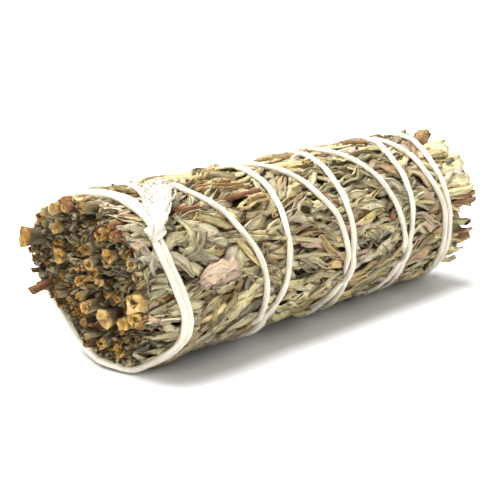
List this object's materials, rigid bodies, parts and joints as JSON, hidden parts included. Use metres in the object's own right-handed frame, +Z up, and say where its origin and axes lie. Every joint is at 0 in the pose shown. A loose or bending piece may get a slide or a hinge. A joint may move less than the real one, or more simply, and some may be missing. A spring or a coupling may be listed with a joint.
{
  "type": "dried sage bunch",
  "caption": "Dried sage bunch lying on its side: pressed leafy sprigs with cut stems at one end, bound with wound and knotted cotton string.",
  "frame": {"origin": "middle of the bunch's outline on the surface that it lies on", "axes": "+X along the bunch from the cut stems to the leaf tips, +Z up, with the knot on the upper -Y side"},
  "size_m": [0.1031, 0.0355, 0.0337],
  "materials": {
    "dried_sage": "matte dried grey-green leaf",
    "sage_stems": "matte bark and cut wood",
    "cotton_string": "soft white cotton, matte"
  },
  "bodies": {
    "root": {"outer_sprig_01": "dried_sage", "outer_sprig_02": "dried_sage", "outer_sprig_03": "dried_sage", "outer_sprig_04": "dried_sage", "outer_sprig_05": "dried_sage", "outer_sprig_06": "dried_sage", "outer_sprig_07": "dried_sage", "outer_sprig_08": "dried_sage", "outer_sprig_09": "dried_sage", "outer_sprig_10": "dried_sage", "inner_sprig_01": "sage_stems", "inner_sprig_02": "sage_stems", "inner_sprig_03": "sage_stems", "inner_sprig_04": "sage_stems", "inner_sprig_05": "sage_stems", "inner_sprig_06": "sage_stems", "string": "cotton_string"}
  },
  "joints": []
}
